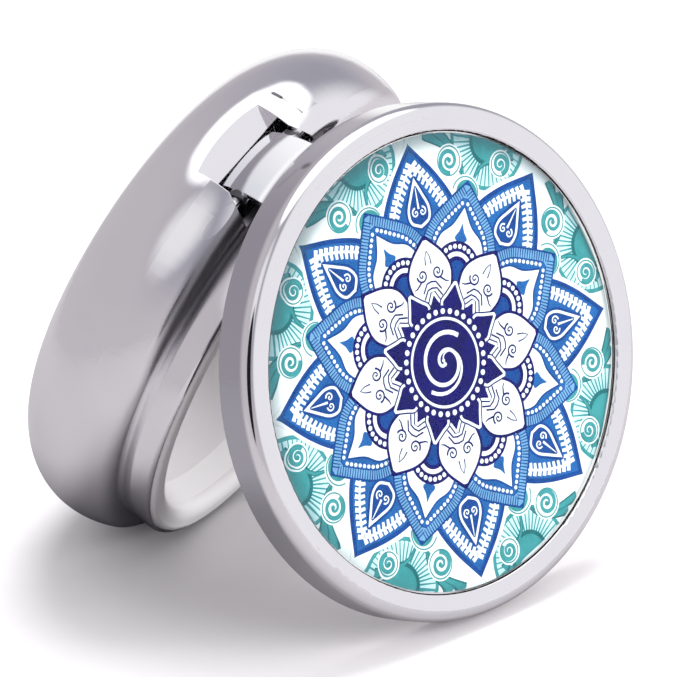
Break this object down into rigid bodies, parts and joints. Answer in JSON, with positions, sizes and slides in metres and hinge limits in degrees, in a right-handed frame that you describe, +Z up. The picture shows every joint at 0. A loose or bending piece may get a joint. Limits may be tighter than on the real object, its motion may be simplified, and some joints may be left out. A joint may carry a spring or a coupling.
{
  "type": "pocket pill box",
  "caption": "Round hinged pocket pill box with a bulging metal base, drop-in tray, and printed lid under a clear dome.",
  "frame": {"origin": "centre of the base's flat rest face", "axes": "+Z up along the base's axis, +Y towards the hinge, -Y towards the front of the box, +X along the hinge pin"},
  "size_m": [0.05, 0.0536, 0.0485],
  "materials": {
    "base_chrome": "polished",
    "white_plastic": "satin",
    "pin_steel": "plated",
    "leaf_chrome": "polished",
    "lid_chrome": "polished",
    "adhesive": "matte",
    "print": "printed",
    "clear_cover": "clear gloss",
    "foam": "matte foam",
    "mirror_glass": "silvered"
  },
  "bodies": {
    "base": {"base_shell": "base_chrome", "pill_tray": "white_plastic", "hinge_pin": "pin_steel"},
    "lid": {"hinge_leaf": "leaf_chrome", "lid_shell": "lid_chrome", "print_adhesive": "adhesive", "print_disc": "print", "clear_dome": "clear_cover", "mirror_pad": "foam", "mirror": "mirror_glass"}
  },
  "joints": [
    {"name": "lid_hinge", "type": "hinge", "parent": "base", "child": "lid", "pos_m": [0, 0.0234, 0.0108], "axis": [-1, 0, 0], "range_deg": [-43.5, 56.5]}
  ]
}
